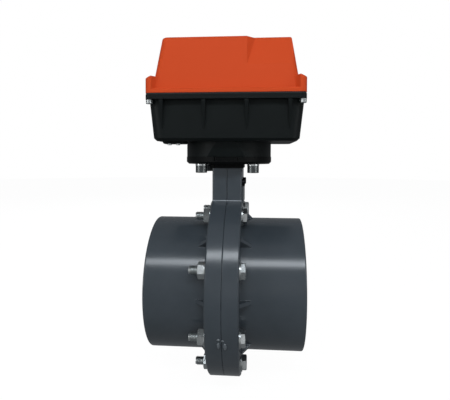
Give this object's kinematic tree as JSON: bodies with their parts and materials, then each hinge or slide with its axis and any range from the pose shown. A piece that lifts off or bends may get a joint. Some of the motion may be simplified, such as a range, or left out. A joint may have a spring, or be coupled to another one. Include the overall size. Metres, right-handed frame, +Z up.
{
  "type": "butterfly valve",
  "caption": "Motor-driven butterfly valve: split grey plastic body with two glue sockets, bolted ring, neck, and a box-shaped electric actuator on top.",
  "frame": {"origin": "where the pipe axis crosses the stem axis, at the middle of the disc", "axes": "+X along the pipe from inlet to outlet, +Z up the stem to the actuator, +Y to the rear, where the cable enters"},
  "size_m": [0.211, 0.2566, 0.4737],
  "materials": {
    "upvc_grey": "moulded, satin",
    "epdm_black": "moulded rubber",
    "stainless": "cold-formed, bright",
    "acetal_white": "turned",
    "black_screw": "black oxide",
    "plate_black": "black coated, satin",
    "housing_black": "moulded, fine texture",
    "cover_orange": "moulded, satin",
    "clear_window": "clear moulded",
    "gear_steel": "cut and oiled",
    "bronze": "sintered",
    "motor_zinc": "zinc plated",
    "turned_aluminium": "turned",
    "moulded_black": "moulded",
    "cam_nylon": "moulded",
    "dial_yellow": "moulded",
    "board_green": "lacquered laminate"
  },
  "bodies": {
    "housing": {"inlet_body_half": "upvc_grey", "outlet_body_half": "upvc_grey", "seat_liner": "epdm_black", "stem_seals": "epdm_black", "cover_gasket": "epdm_black", "output_seal": "epdm_black", "gland_seal": "epdm_black", "body_bolts": "stainless", "body_nuts": "stainless", "head_washers": "stainless", "nut_washers": "stainless", "flange_screws": "stainless", "flange_spring_washers": "stainless", "cover_screws": "stainless", "override_cap_screws": "stainless", "plate_screws": "stainless", "intermediate_pin": "stainless", "motor_screws": "stainless", "lid_screws": "stainless", "upper_stem_bush": "acetal_white", "lower_stem_bush": "acetal_white", "stem_thrust_washer": "acetal_white", "neck_screws": "black_screw", "mounting_plate": "plate_black", "actuator_base": "housing_black", "override_cap": "housing_black", "actuator_cover": "cover_orange", "position_window": "clear_window", "gearbox_lid": "gear_steel", "switch_bracket": "gear_steel", "switch_levers": "gear_steel", "capacitor_clip": "gear_steel", "output_bush": "bronze", "lid_bush": "bronze", "motor_body": "motor_zinc", "lid_pillars": "turned_aluminium", "capacitor": "turned_aluminium", "limit_switches": "moulded_black", "gland_body": "moulded_black", "gland_cap": "moulded_black", "gland_locknuts": "moulded_black", "blanking_plug": "moulded_black", "board_pillars": "cam_nylon", "terminal_block": "cam_nylon", "control_board": "board_green"},
    "valve_drive": {"disc": "upvc_grey", "disc_pins": "stainless", "stem": "stainless", "drive_sleeve": "gear_steel", "drive_key": "gear_steel", "output_gear": "gear_steel", "closed_cam": "cam_nylon", "open_cam": "cam_nylon", "indicator_disc": "dial_yellow"},
    "intermediate_shaft": {"intermediate_gear": "gear_steel"},
    "override_drive": {"override_gear": "gear_steel", "override_shaft": "stainless"},
    "motor_rotor": {"motor_pinion": "gear_steel"}
  },
  "joints": [
    {"name": "valve_turn", "type": "hinge", "parent": "housing", "child": "valve_drive", "pos_m": [0, 0, 0], "axis": [0, 0, 1], "range_deg": [0, 90]},
    {"name": "intermediate_turn", "type": "hinge", "parent": "housing", "child": "intermediate_shaft", "pos_m": [-0.05, -0.01601, 0.225], "axis": [0, 0, 1], "range_deg": [-360, 0]},
    {"name": "override_turn", "type": "hinge", "parent": "housing", "child": "override_drive", "pos_m": [-0.07102, -0.04399, 0.225], "axis": [0, 0, 1], "range_deg": [0, 1440]},
    {"name": "motor_turn", "type": "hinge", "parent": "housing", "child": "motor_rotor", "pos_m": [-0.05025, -0.03804, 0.245], "axis": [0, 0, 1], "range_deg": [-4114.3, 0]}
  ],
  "couplings": [
    {"joint": "intermediate_turn", "follows": "valve_turn", "ratio": -4},
    {"joint": "override_turn", "follows": "valve_turn", "ratio": 16},
    {"joint": "motor_turn", "follows": "valve_turn", "ratio": -45.714}
  ]
}
